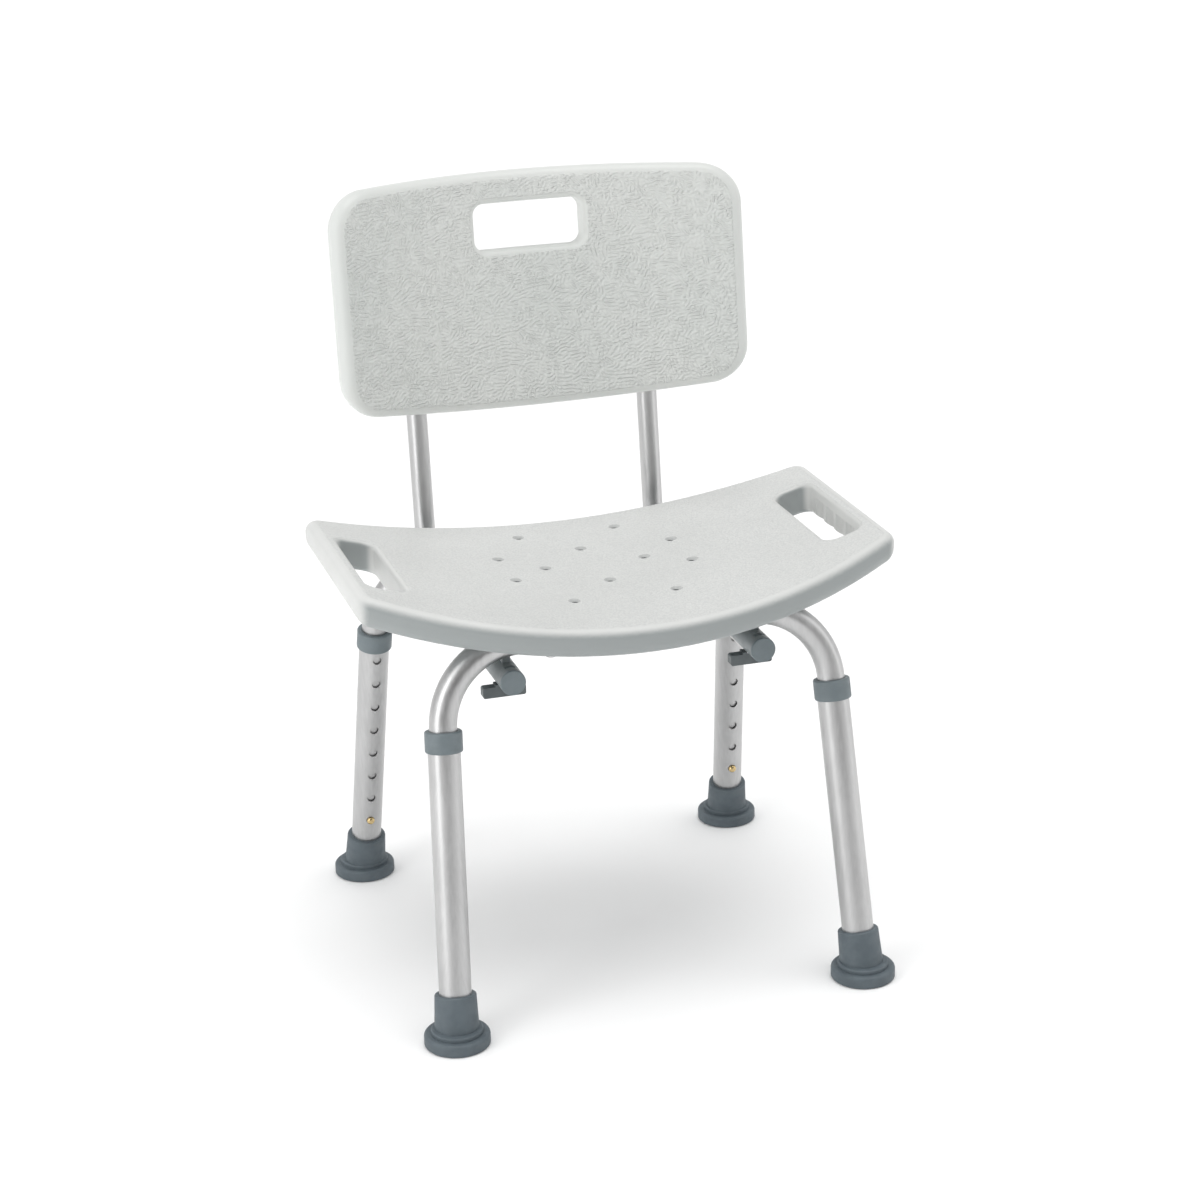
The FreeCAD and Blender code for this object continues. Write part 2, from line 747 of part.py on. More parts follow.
def make_seat_blank():
    """The dished slab, trimmed to its outline, with its hand holes and rounded edges."""
    body = new_body("seat_blank", FreeCAD.Placement(at(0, 0, 0), FreeCAD.Rotation()))
    half = S["seat_half"]
    dished_slab(body, "seat", half, S["seat_dish"], S["seat_thick"], S["seat_top_z"], Size(380))
    outline = new_sketch(body, "XY_Plane", "seat_outline")
    draw_frame_box(outline, Size(300), Size(220))
    draw_barrel(outline, half, S["seat_front"], S["seat_back"], S["seat_front_bow"], S["seat_back_bow"])
    pocket(body, outline, Size(1000), midplane=True)
    fillet(body, S["seat_corner"], is_upright)
    holes = new_sketch(body, "XY_Plane", "seat_grips")
    low = S["grip_mid_y"] - S["grip_long"] / 2
    high = S["grip_mid_y"] + S["grip_long"] / 2
    draw_rounded_box(holes, S["grip_in"], low, S["grip_out"], high, S["grip_corner"])
    draw_rounded_box(holes, -S["grip_out"], low, -S["grip_in"], high, S["grip_corner"])
    pocket(body, holes, Size(1000), midplane=True)

    def level(edge):
        """Height of an edge above the slab's middle surface, as a share of its thickness."""
        place = middle_of(edge)
        return (place.z - seat_top_at(place.x)) / S["seat_thick"].value + 0.5

    fillet(body, S["seat_round"], lambda edge: is_rim(edge) and level(edge) > 0 and not in_grip(edge))
    fillet(body, S["seat_under_round"], lambda edge: is_rim(edge) and level(edge) < 0 and not in_grip(edge))
    fillet(body, S["grip_round"], lambda edge: is_rim(edge) and in_grip(edge))
    return body


def drain_tools():
    """Cutters for the drain holes and for the dimples round their mouths."""
    tools = []
    for x, y in DRAIN_PLACES:
        top = seat_top_at(x)
        middle_y = y + S["drain_mid_y"].value
        below = FreeCAD.Placement(at(x, middle_y, top - 60), FreeCAD.Rotation())
        tools.append(cylinder("drain_hole", S["drain_dia"] / 2, Size(80), below))
        dimple = DOC.addObject("Part::Cone", "drain_dimple")
        foot = at(x, middle_y, top - S["drain_dip"].value)
        dimple.Placement = FreeCAD.Placement(foot, FreeCAD.Rotation())
        bind(dimple, "Radius1", S["drain_dia"] / 2)
        bind(dimple, "Radius2", S["drain_mouth"] / 2)
        bind(dimple, "Height", S["drain_dip"] + S["drain_over"])
        tools.append(dimple)
    return tools


def finger_tools():
    """Cutters for the finger scallops under the outer side of each hand hole."""
    tools = []
    for side in SIDES.values():
        middle_x = S["grip_out"].value + S["finger_deep"].value - S["finger_rad"].value
        top = seat_top_at(S["grip_out"].value) - S["finger_skin"].value
        for i in range(FINGERS):
            along = (i - (FINGERS - 1) / 2) * S["finger_pitch"].value
            place = at(side * middle_x, S["grip_mid_y"].value + along, top - 60)
            upright = FreeCAD.Placement(place, FreeCAD.Rotation())
            finger = cylinder("finger", S["finger_rad"], Size(60), upright)
            tools.append(finger)
    return tools


def make_seat():
    bores = []
    channel_r = frame_r + S["slack"]
    channels = [frame_sweep(end + "_channel", end, channel_r) for end in ENDS]
    for _, x, y in seat_screw_places():
        place = FreeCAD.Placement(at(x, y, S["frame_run_z"].value), FreeCAD.Rotation())
        bores.append(cylinder("insert_bore", S["insert_dia"] / 2, frame_r + S["insert_long"] + 1, place))
    tools = drain_tools() + finger_tools() + bores + channels
    return node("seat", cut("seat_cut", make_seat_blank(), tools))


CORES = {}


def frame_core(end):
    """A solid rod in the place of the leg frame, to cope other pieces to it."""
    if end not in CORES:
        CORES[end] = frame_sweep(end + "_core", end, frame_r)
    return CORES[end]


def make_seat_fasteners():
    """The inserts, saddle washers and screws that hold the seat to the leg frames."""
    inserts, pads, screws = [], [], []
    insert_from = S["frame_run_z"] + frame_r + 1
    pad_from = S["frame_run_z"] - frame_r - S["pad_low"]
    for end, x, y in seat_screw_places():
        axis = FreeCAD.Placement(at(x, y, 0), FreeCAD.Rotation())
        inserts.append(
            tube("insert", S["insert_dia"] / 2, S["screw_dia"] / 2, insert_from,
                 insert_from + S["insert_long"], axis)
        )
        blank = tube("saddle_washer", S["pad_dia"] / 2, S["screw_hole"] / 2, pad_from,
                     S["frame_run_z"] - 8, axis)
        pads.append(cut("saddle_washer_cut", blank, [frame_core(end)]))
        head_from = pad_from - S["screw_head"]
        screws.append(make_screw("seat_screw", insert_from + S["insert_long"] - head_from,
                                 at(x, y, head_from.value), V(0, 0, 1)))
    node("seat_inserts", group("insert_group", inserts))
    node("saddle_washers", group("washer_group", pads))
    node("seat_screws", group("seat_screw_group", screws))


def make_screw(name, length, position, along):
    """A round-headed screw with a hexagon recess; its head starts at position."""
    head = S["screw_head_dia"] / 2
    shank = S["screw_dia"] / 2
    profile = [
        (ZERO, ZERO),
        (head, ZERO),
        (head, S["screw_head"]),
        (shank, S["screw_head"]),
        (shank, length),
        (ZERO, length),
    ]
    place = aimed(position, along)
    body = turned(name, profile, place)
    round_rings(body, S["screw_head"] / 2, (head, ZERO))
    recess = DOC.addObject("Part::Prism", name + "_recess")
    recess.Polygon = 6
    bind(recess, "Circumradius", S["hex_size"] / 2)
    bind(recess, "Height", S["screw_head"] * 0.7)
    recess.Placement = place
    return cut(name + "_socketed", body, [recess])


# ---------------------------------------------------------------- receivers

receiver_r = S["receiver_od"] / 2
receiver_bore = receiver_r - S["receiver_wall"]
REARWARD = V(0, 1, 0)


def on_receiver(side, y, z=None):
    """A point over or under one receiver's axis, at a depth y."""
    height = S["receiver_z"].value if z is None else z
    return at(SIDES[side] * S["post_x"].value, y.value, height)


def make_receiver(side):
    name = "receiver_" + side
    length = S["receiver_back"] - S["receiver_front"]
    blank = tube(name + "_blank", receiver_r, receiver_bore, ZERO, length,
                 aimed(on_receiver(side, S["receiver_front"]), REARWARD))
    slot = box(name + "_slot", S["slot_wide"], S["slot_deep"], Size(15), FreeCAD.Placement(
        on_receiver(side, S["slot_y"] - S["slot_deep"] / 2) - V(S["slot_wide"].value / 2, 0, 0),
        FreeCAD.Rotation()))
    low = S["receiver_z"].value - 15
    upright = FreeCAD.Rotation()
    pin_hole = cylinder(name + "_pin_hole", S["lock_hole"] / 2, Size(15),
                        FreeCAD.Placement(on_receiver(side, S["lock_y"], low), upright))
    rivet_hole = cylinder(name + "_rivet_hole", S["rivet_dia"] / 2, Size(15),
                          FreeCAD.Placement(on_receiver(side, S["rivet_y"], low), upright))
    return node(name, cut(name + "_cut", blank, [slot, pin_hole, rivet_hole]))


def make_receiver_cap(side):
    """A disc with a hollow plug, whose tongue snaps into the receiver's slot."""
    name = "receiver_cap_" + side
    disc = S["cap_disc"]
    end = disc + S["cap_plug"]
    profile = [
        (ZERO, ZERO),
        (receiver_r, ZERO),
        (receiver_r, disc),
        (receiver_bore, disc),
        (receiver_bore, end),
        (receiver_bore - 2, end),
        (receiver_bore - 2, disc + 1),
        (ZERO, disc + 1),
    ]
    plug = turned(name + "_plug", profile, aimed(on_receiver(side, S["receiver_front"] - disc), REARWARD))
    round_rings(plug, Size(0.8), (receiver_r, ZERO))
    wide = S["slot_wide"] - 0.6
    deep = S["tongue_deep"]
    tongue_z = S["receiver_z"].value + receiver_bore.value - 1.6
    corner = on_receiver(side, S["slot_y"] + S["slot_deep"] / 2 - deep - 0.3, tongue_z)
    tongue = box(name + "_tongue", wide, deep, Size(2),
                 FreeCAD.Placement(corner - V(wide.value / 2, 0, 0), FreeCAD.Rotation()))
    return node(name, fused(name + "_fused", [plug, tongue]))


def make_saddles():
    """Blocks between each receiver and each leg frame, behind the cross run and coped to both tubes."""
    saddles = []
    for side in SIDES:
        rod = cylinder("receiver_core_" + side, receiver_r, Size(400),
                       aimed(on_receiver(side, Size(-200)), REARWARD))
        for end in ENDS:
            middle_y = frame_run_y(end) - ENDS[end] * S["saddle_in"].value
            corner = at(SIDES[side] * S["post_x"].value - S["saddle_wide"].value / 2,
                        middle_y - S["saddle_deep"].value / 2, S["receiver_z"].value + 4)
            high = S["frame_run_z"] - S["receiver_z"] - 9
            block = box("saddle", S["saddle_wide"], S["saddle_deep"], high,
                        FreeCAD.Placement(corner, FreeCAD.Rotation()))
            saddles.append(cut("saddle_coped", block, [rod, frame_core(end)]))
    return node("receiver_saddles", group("saddle_group", saddles))


# ---------------------------------------------------------------- backrest

post_r = S["post_od"] / 2
post_bore = post_r - S["post_wall"]
POST_UP = V(0, S["recline"].value, 1).normalize()
PANEL_FORWARD = V(0, -1, S["recline"].value).normalize()


def post_y(z):
    return S["post_ref_y"] + S["recline"] * (z - S["post_ref_z"])


def panel_point(x, up, forward):
    """A point in the panel's own frame: up its middle line, and forward of its middle surface."""
    middle = at(0, post_y(S["panel_mid_z"]).value, S["panel_mid_z"].value)
    middle += PANEL_FORWARD * S["panel_ahead"].value
    return middle + V(x, 0, 0) + POST_UP * up + PANEL_FORWARD * forward


def make_post(side):
    """A tube swept from inside the receiver, round its bend, and up behind the panel."""
    name = "back_post_" + side
    foot = at(SIDES[side] * S["post_x"].value, 0, 0)
    body = new_body(name + "_blank", FreeCAD.Placement(foot, FreeCAD.Rotation()))
    lean = S["recline"]
    slant = root(lean * lean + 1)
    low_z = S["receiver_z"]
    corner_y = post_y(low_z)
    tangent = S["post_bend"] * (slant - lean)
    points = [
        (S["post_front"], low_z),
        (corner_y - tangent, low_z),
        (corner_y + tangent * lean / slant, low_z + tangent / slant),
        (post_y(S["post_top_z"]), S["post_top_z"]),
    ]
    path = new_sketch(body, "YZ_Plane", name + "_path")
    draw_path(path, points, {1: (S["post_bend"], 1)}, closed=False)
    section = new_sketch(body, "XZ_Plane", name + "_section", -S["post_front"])
    draw_circle(section, post_r, ZERO, low_z)
    draw_circle(section, post_bore, ZERO, low_z)
    pipe = body.newObject("PartDesign::AdditivePipe", name + "_pipe")
    pipe.Profile = section
    pipe.Spine = (path, ["Edge1", "Edge2", "Edge3"])
    DOC.recompute()
    upright = FreeCAD.Rotation()
    pin_hole = cylinder(name + "_pin_hole", S["lock_hole"] / 2, Size(15),
                        FreeCAD.Placement(on_receiver(side, S["lock_y"], low_z.value - 15), upright))
    tools = [pin_hole]
    x = SIDES[side] * S["post_x"].value
    for up in (S["screw_low"], S["screw_high"]):
        start = panel_point(x, up.value, -S["panel_ahead"].value - 20)
        place = aimed(start, PANEL_FORWARD)
        tools.append(cylinder(name + "_screw_hole", S["screw_dia"] / 2 + 0.2, Size(40), place))
    return node(name, cut(name + "_drilled", body, tools))


def make_panel_blank():
    """The slab, wrapped forward at its ends, trimmed to its outline, with its handle."""
    turn = FreeCAD.Rotation(V(1, 0, 0), POST_UP, PANEL_FORWARD, "ZXY")
    body = new_body("panel_blank", FreeCAD.Placement(panel_point(0, 0, 0), turn))
    half = S["panel_half"]
    thick = S["panel_thick"]
    dished_slab(body, "panel", half, S["panel_wrap"], thick, thick / 2, Size(300))
    outline = new_sketch(body, "XY_Plane", "panel_outline")
    draw_frame_box(outline, Size(260), Size(200))
    draw_barrel(outline, half, S["panel_foot"], S["panel_top"], S["panel_foot_bow"], S["panel_top_bow"])
    pocket(body, outline, Size(400), midplane=True)
    fillet(body, S["panel_corner"], is_upright)
    handle = new_sketch(body, "XY_Plane", "panel_handle")
    wide = S["handle_half"]
    draw_rounded_box(handle, -wide, S["handle_foot"], wide, S["handle_top"], S["handle_corner"])
    pocket(body, handle, Size(400), midplane=True)

    def is_handle(edge):
        middle = edge.CenterOfMass
        return abs(middle.x) < wide.value + 1 and abs(middle.y) < S["handle_top"].value + 1

    def level(edge):
        """An edge's place in front of the middle surface, as a share of the thickness."""
        place = middle_of(edge)
        return (place.z - arc_rise(place.x, half, S["panel_wrap"])) / thick.value

    fillet(body, S["handle_round"], lambda edge: is_rim(edge) and is_handle(edge))
    fillet(body, S["panel_round"], lambda edge: is_rim(edge) and level(edge) > 0 and not is_handle(edge))
    fillet(body, S["panel_back_round"], lambda edge: is_rim(edge) and level(edge) < 0 and not is_handle(edge))
    return body


def make_boss(side):
    """A block that fills the gap between a post and the curved back of the panel."""
    low_x = SIDES[side] * S["post_x"].value - S["boss_wide"].value / 2
    corner = panel_point(low_x, S["boss_foot"].value, -S["panel_ahead"].value)
    turn = FreeCAD.Rotation(V(1, 0, 0), POST_UP, PANEL_FORWARD, "ZXY")
    long = S["boss_top"] - S["boss_foot"]
    into_panel = S["panel_ahead"] + 8
    return box("panel_boss_" + side, S["boss_wide"], long, into_panel, FreeCAD.Placement(corner, turn))


def make_panel():
    tools = []
    for side in SIDES.values():
        x = side * S["post_x"].value
        low = panel_point(x, -200, -S["panel_ahead"].value)
        tools.append(cylinder("post_channel", post_r + 0.05, Size(400), aimed(low, POST_UP)))
        for up in (S["screw_low"], S["screw_high"]):
            start = panel_point(x, up.value, -S["panel_ahead"].value)
            tools.append(cylinder("panel_pilot", S["screw_dia"] / 2, Size(22), aimed(start, PANEL_FORWARD)))
    blank = fused("panel_with_bosses", [make_panel_blank()] + [make_boss(side) for side in SIDES])
    return node("backrest_panel", cut("panel_cut", blank, tools))


def make_panel_screws():
    screws = []
    for side in SIDES.values():
        for up in (S["screw_low"], S["screw_high"]):
            behind = S["panel_ahead"] + post_r + S["screw_head"]
            start = panel_point(side * S["post_x"].value, up.value, -behind.value)
            screws.append(make_screw("panel_screw", behind - S["panel_ahead"] + 22, start, PANEL_FORWARD))
    return node("panel_screws", group("panel_screw_group", screws))


def make_post_plug(side):
    """A domed plastic plug in the top of a post."""
    name = "post_plug_" + side
    top = S["post_top_z"]
    place = aimed(at(SIDES[side] * S["post_x"].value, post_y(top).value, top.value), POST_UP)
    profile = [
        (ZERO, -Size(12)),
        (post_bore, -Size(12)),
        (post_bore, ZERO),
        (post_r, ZERO),
        (post_r, Size(2)),
        (ZERO, Size(2)),
    ]
    body = turned(name, profile, place)
    round_rings(body, Size(1.5), (post_r, Size(2)))
    return node(name, body)


# ---------------------------------------------------------------- backrest locks


def make_lock(side):
    """Pull tab, pin, leaf spring and rivet under one receiver."""
    x = SIDES[side] * S["post_x"].value
    tab_name = "lock_tab_" + side
    leaf_top = S["receiver_z"] - receiver_r
    leaf_foot = leaf_top - S["leaf_thick"]
    body = new_body(tab_name + "_blank", FreeCAD.Placement(at(x, S["lock_y"].value, 0), FreeCAD.Rotation()))
    sketch = new_sketch(body, "XZ_Plane", tab_name + "_outline")
    half, stem = S["tab_half"], S["tab_stem_half"]
    draw_path(sketch, [
        (-half, S["tab_foot"]),
        (half, S["tab_foot"]),
        (half, S["tab_top"]),
        (stem, S["tab_top"]),
        (stem, leaf_foot),
        (-stem, leaf_foot),
        (-stem, S["tab_top"]),
        (-half, S["tab_top"]),
    ])
    pad(body, sketch, S["tab_deep"], midplane=True)

    def is_bar_end(edge):
        return is_along(edge, REARWARD) and abs(abs(edge.CenterOfMass.x) - half.value) < 0.1

    fillet(body, S["tab_round"], is_bar_end)
    pin_foot = S["tab_foot"] + 3
    pin_place = FreeCAD.Placement(on_receiver(side, S["lock_y"], pin_foot.value), FreeCAD.Rotation())
    bore = cylinder(tab_name + "_bore", S["lock_pin_dia"] / 2, Size(30), pin_place)
    node(tab_name, cut(tab_name + "_bored", body, [bore]))

    pin_name = "lock_pin_" + side
    pin_r = S["lock_pin_dia"] / 2
    pin_long = S["lock_pin_top"] - pin_foot
    pin = turned(pin_name, [(ZERO, ZERO), (pin_r, ZERO), (pin_r, pin_long), (ZERO, pin_long)], pin_place)
    round_rings(pin, Size(1), (pin_r, pin_long))
    node(pin_name, pin)

    leaf_name = "lock_spring_" + side
    front = S["lock_y"] - 7
    leaf_place = at(x - S["leaf_wide"].value / 2, front.value, leaf_foot.value)
    strip = box(leaf_name + "_strip", S["leaf_wide"], S["leaf_back"] - front, S["leaf_thick"],
                FreeCAD.Placement(leaf_place, FreeCAD.Rotation()))
    pin_clear = cylinder(leaf_name + "_pin_hole", S["lock_pin_dia"] / 2 + 0.1, Size(30), pin_place)
    rivet_foot = leaf_foot - S["rivet_head"]
    rivet_place = FreeCAD.Placement(on_receiver(side, S["rivet_y"], rivet_foot.value), FreeCAD.Rotation())
    rivet_clear = cylinder(leaf_name + "_rivet_hole", S["rivet_dia"] / 2, Size(30), rivet_place)
    node(leaf_name, cut(leaf_name + "_cut", strip, [pin_clear, rivet_clear]))

    rivet_name = "lock_rivet_" + side
    head, shank = S["rivet_head_dia"] / 2, S["rivet_dia"] / 2
    rivet_top = S["receiver_z"] - receiver_bore - rivet_foot
    rivet = turned(rivet_name, [
        (ZERO, ZERO),
        (head, ZERO),
        (head, S["rivet_head"]),
        (shank, S["rivet_head"]),
        (shank, rivet_top),
        (ZERO, rivet_top),
    ], rivet_place)
    round_rings(rivet, S["rivet_head"] / 2, (head, ZERO))
    node(rivet_name, rivet)


# ---------------------------------------------------------------- the whole chair


def make_chair():
    for leg in LEGS:
        make_leg_tube(leg)
        make_collar(leg)
        make_foot_tip(leg)
        make_tip_washer(leg)
        make_snap_button(leg)
        make_button_spring(leg)
    for end in ENDS:
        make_leg_frame(end)
    make_seat()
    make_seat_fasteners()
    for side in SIDES:
        make_receiver(side)
        make_receiver_cap(side)
        make_post(side)
        make_post_plug(side)
        make_lock(side)
    make_saddles()
    make_panel()
    make_panel_screws()


def check_and_write():
    """Stops if anything failed to build, then writes one file for each sub-part."""
    DOC.recompute()
    for thing in DOC.Objects:
        if "Invalid" in thing.State or "Error" in thing.State:
            raise RuntimeError("%s is %s" % (thing.Name, thing.State))
    os.makedirs("parts", exist_ok=True)
    for label, thing in NODES.items():
        shape = thing.Shape
        if shape.isNull() or not shape.isValid() or not shape.Solids:
            raise RuntimeError(label + " has no valid solid")
    for label, thing in NODES.items():
        thing.Shape.exportStep("parts/%s.step" % label)
        print(label, len(thing.Shape.Solids), round(thing.Shape.Volume))


make_chair()
check_and_write()
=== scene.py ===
import math

import bpy
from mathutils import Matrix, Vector

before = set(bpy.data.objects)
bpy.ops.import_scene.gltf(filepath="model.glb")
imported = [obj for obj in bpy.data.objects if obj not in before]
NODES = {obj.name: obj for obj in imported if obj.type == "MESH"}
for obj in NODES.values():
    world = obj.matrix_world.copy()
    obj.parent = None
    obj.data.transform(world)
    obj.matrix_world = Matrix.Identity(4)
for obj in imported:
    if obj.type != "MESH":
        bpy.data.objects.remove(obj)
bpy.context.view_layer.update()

# the camera: its direction in degrees, the point it aims at and its distance from there in metres
AZIMUTH, ELEVATION, ROLL = -16.586, 19.805, -1.353
TARGET = Vector((-0.006096, -0.040068, 0.329168))
DISTANCE = 2.46258
LENS_MM, SENSOR_MM = 84.01, 36
CLIP_START, CLIP_END = 0.05, 60

# the studio's light from the front and from its other sides, what looking up adds to both, and how
# far to the side or to the rear a direction has to point for the first to fade into the second
DIM_FRONT, BRIGHT_SIDES, OVERHEAD = 0.14, 0.85, 0.25
FRONT_FADE = (0.15, 0.95)

# the point that the lamps face
MIDDLE = Vector((0, 0, 0.3))

# half the floor's width, and the gap that keeps it clear of the feet
FLOOR_HALF = 18.0
FLOOR_GAP = 0.0005

# the seat and the panel are bent to these radii, and the panel leans back by this slope
SEAT_RADIUS, PANEL_RADIUS, PANEL_LEAN = 0.749, 0.370, 0.121

# how far a normal turns from that of the bent face, along its bend and across it, on the way from a
# rounded edge to the face
BEND_FADE = (0.3, 0.12)
SLOPE_FADE = (0.32, 0.14)

# half the width and half the depth of the part of the seat that holds the drain holes
DRAIN_FIELD = (0.13, 0.108)

# the range that most of a noise's values are in
NOISE_RANGE = (0.3, 0.7)

# the colour mix node's sockets, which share their names with those for other kinds of data
MIX_FACTOR, MIX_FIRST, MIX_SECOND, MIX_RESULT = 0, 6, 7, 2


# ---------------------------------------------------------------- camera and lights


def link(thing):
    bpy.context.scene.collection.objects.link(thing)
    return thing


def make_camera():
    azimuth, elevation, roll = (math.radians(angle) for angle in (AZIMUTH, ELEVATION, ROLL))
    level = math.cos(elevation)
    back = Vector((math.sin(azimuth) * level, -math.cos(azimuth) * level, math.sin(elevation)))
    right = Vector((math.cos(azimuth), math.sin(azimuth), 0))
    up = back.cross(right)
    rolled_right = right * math.cos(roll) + up * math.sin(roll)
    rolled_up = up * math.cos(roll) - right * math.sin(roll)
    data = bpy.data.cameras.new("camera")
    data.lens = LENS_MM
    data.sensor_width = SENSOR_MM
    data.clip_start = CLIP_START
    data.clip_end = CLIP_END
    camera = link(bpy.data.objects.new("camera", data))
    matrix = camera.matrix_world.copy()
    for row in range(3):
        place = TARGET[row] + back[row] * DISTANCE
        matrix[row] = (rolled_right[row], rolled_up[row], back[row], place)
    camera.matrix_world = matrix
    bpy.context.scene.camera = camera


def soft_light(name, place, size, power):
    """A rectangular light that faces the middle of the chair."""
    data = bpy.data.lights.new(name, "AREA")
    data.shape = "RECTANGLE"
    data.size, data.size_y = size
    data.energy = power
    lamp = link(bpy.data.objects.new(name, data))
    lamp.location = place
    lamp.rotation_euler = (MIDDLE - Vector(place)).to_track_quat("-Z", "Y").to_euler()


def make_sun(toward, power, spread):
    """Even light from a direction, with soft edges to its shadows."""
    data = bpy.data.lights.new("sky_light", "SUN")
    data.energy = power
    data.angle = math.radians(spread)
    lamp = link(bpy.data.objects.new("sky_light", data))
    lamp.rotation_euler = Vector(toward).to_track_quat("Z", "Y").to_euler()


# ---------------------------------------------------------------- colours and nodes


def linear(value):
    value /= 255
    return value / 12.92 if value <= 0.04045 else ((value + 0.055) / 1.055) ** 2.4


def tone(r, g, b):
    """A colour given by its 8-bit screen values, as the shader's linear one."""
    return (linear(r), linear(g), linear(b), 1)


def shifted(shade, change):
    """The tone of a shade with each of its screen values changed by the same amount."""
    return tone(*(value + change for value in shade))


class Nodes:
    """The nodes of a new material or world, with short ways to add and join them."""

    def __init__(self, owner, shader):
        owner.use_nodes = True
        self.owner = owner
        self.tree = owner.node_tree
        self.shader = self.tree.nodes[shader]

    def add(self, kind, **values):
        """A new node with these inputs and settings."""
        made = self.tree.nodes.new(kind)
        for key, value in values.items():
            if key in made.inputs:
                self.put(made, key, value)
            else:
                setattr(made, key, value)
        return made

    def put(self, made, key, value):
        """Joins another node's output to an input, or gives the input a value of its own."""
        if isinstance(value, bpy.types.NodeSocket):
            self.tree.links.new(value, made.inputs[key])
        else:
            made.inputs[key].default_value = value

    def coords(self):
        """The place in the frame at rest, in metres, which goes along with a piece that moves."""
        return self.add("ShaderNodeTexCoord").outputs["Object"]

    def split(self, vector):
        """A vector's parts, under the names X, Y and Z."""
        return self.add("ShaderNodeSeparateXYZ", Vector=vector).outputs

    def noise(self, scale, detail=3, rough=0.5, stretch=None):
        where = self.coords()
        if stretch:
            where = self.add("ShaderNodeMapping", Vector=where, Scale=stretch).outputs["Vector"]
        made = self.add("ShaderNodeTexNoise", Vector=where, Scale=scale, Detail=detail, Roughness=rough)
        return made.outputs["Fac"]

    def ramp(self, value, start, end, first=0.0, last=1.0):
        """Goes smoothly from first at start to last at end, and stays level beyond them."""
        limits = {"From Min": start, "From Max": end, "To Min": first, "To Max": last}
        made = self.add("ShaderNodeMapRange", interpolation_type="SMOOTHSTEP", Value=value, **limits)
        return made.outputs["Result"]

    def spread(self, noise, first=0.0, last=1.0):
        """Takes a noise's usual range to the range from first to last."""
        return self.ramp(noise, *NOISE_RANGE, first, last)

    def math(self, operation, *values):
        made = self.add("ShaderNodeMath", operation=operation)
        for index, value in enumerate(values):
            self.put(made, index, value)
        return made.outputs[0]

    def absolute(self, value):
        return self.math("ABSOLUTE", value)

    def times(self, product, *factors):
        for factor in factors:
            product = self.math("MULTIPLY", product, factor)
        return product

    def mix(self, factor, first, second):
        """The first colour where the factor is 0, and the second where it is 1."""
        made = self.add("ShaderNodeMix", data_type="RGBA")
        self.put(made, MIX_FACTOR, factor)
        self.put(made, MIX_FIRST, first)
        self.put(made, MIX_SECOND, second)
        return made.outputs[MIX_RESULT]

    def bump(self, height, depth):
        return self.add("ShaderNodeBump", Height=height, Distance=depth, Strength=1.0).outputs["Normal"]

    def finish(self, **values):
        for key, value in values.items():
            self.put(self.shader, key.replace("_", " "), value)
        return self.owner


def new_material(name):
    return Nodes(bpy.data.materials.new(name), "Principled BSDF")


# ---------------------------------------------------------------- seat and panel


def surface(nodes):
    """The surface's normal and place, each as separate X, Y and Z."""
    source = nodes.add("ShaderNodeTexCoord").outputs
    return nodes.split(source["Normal"]), nodes.split(source["Object"])


def face_mask(nodes, normal, place, radius, other, level):
    """1 on a face bent about a radius along X, and 0 on its rounded edges."""
    bend = nodes.absolute(nodes.math("MULTIPLY_ADD", place["X"], 1 / radius, normal["X"]))
    slope = nodes.absolute(nodes.math("SUBTRACT", normal[other], level))
    return nodes.times(nodes.ramp(bend, *BEND_FADE), nodes.ramp(slope, *SLOPE_FADE))


def rim_shade_mask(nodes, normal):
    """1 on the front and rear rims, and 0 on the upper face and on the ends; it places the painted
    shade on the seat's rims.
    """
    steep = nodes.ramp(normal["Z"], 0.9, 0.2)
    not_an_end = nodes.ramp(nodes.absolute(normal["X"]), 0.92, 0.4)
    return nodes.times(steep, not_an_end)


def drain_shade_mask(nodes, normal, place):
    """1 on the upright walls of the drain holes, where the painted shade goes."""
    wall = nodes.ramp(nodes.absolute(normal["Z"]), 0.8, 0.5)
    within_x = nodes.math("LESS_THAN", nodes.absolute(place["X"]), DRAIN_FIELD[0])
    within_y = nodes.math("LESS_THAN", nodes.absolute(place["Y"]), DRAIN_FIELD[1])
    return nodes.times(wall, within_x, within_y)


def make_seat_plastic():
    """Pale grey, pebbled on the upper face only, with painted shade in the pits of the pebbles, on the
    rims and in the drain holes.
    """
    nodes = new_material("seat_plastic")
    normal, place = surface(nodes)
    upward = nodes.ramp(normal["Z"], 0.3, 0.6)
    mask = nodes.times(face_mask(nodes, normal, place, SEAT_RADIUS, "Y", 0.0), upward)
    voronoi = nodes.add(
        "ShaderNodeTexVoronoi", feature="SMOOTH_F1", Vector=nodes.coords(), Scale=480, Smoothness=0.4)
    pebbles = voronoi.outputs["Distance"]
    grain = nodes.times(nodes.math("ADD", pebbles, nodes.noise(700, detail=2)), mask)
    # painted shade: the pits between the pebbles are darkened as if they were in shade
    pit_shade = nodes.times(nodes.spread(pebbles, 0, 0.34), mask)
    colour = nodes.mix(nodes.spread(nodes.noise(9)), tone(204, 205, 203), tone(209, 210, 208))
    colour = nodes.mix(pit_shade, colour, tone(184, 186, 186))
    # painted shade: the front and rear rims are darkened as if they were in shade
    colour = nodes.mix(rim_shade_mask(nodes, normal), colour, tone(152, 157, 157))
    # painted shade: the drain holes' walls are darkened as if they were in shade
    colour = nodes.mix(drain_shade_mask(nodes, normal, place), colour, tone(108, 112, 114))
    sheen = nodes.spread(nodes.noise(60), 0.40, 0.50)
    return nodes.finish(Base_Color=colour, Roughness=sheen, Normal=nodes.bump(grain, depth=0.0004))


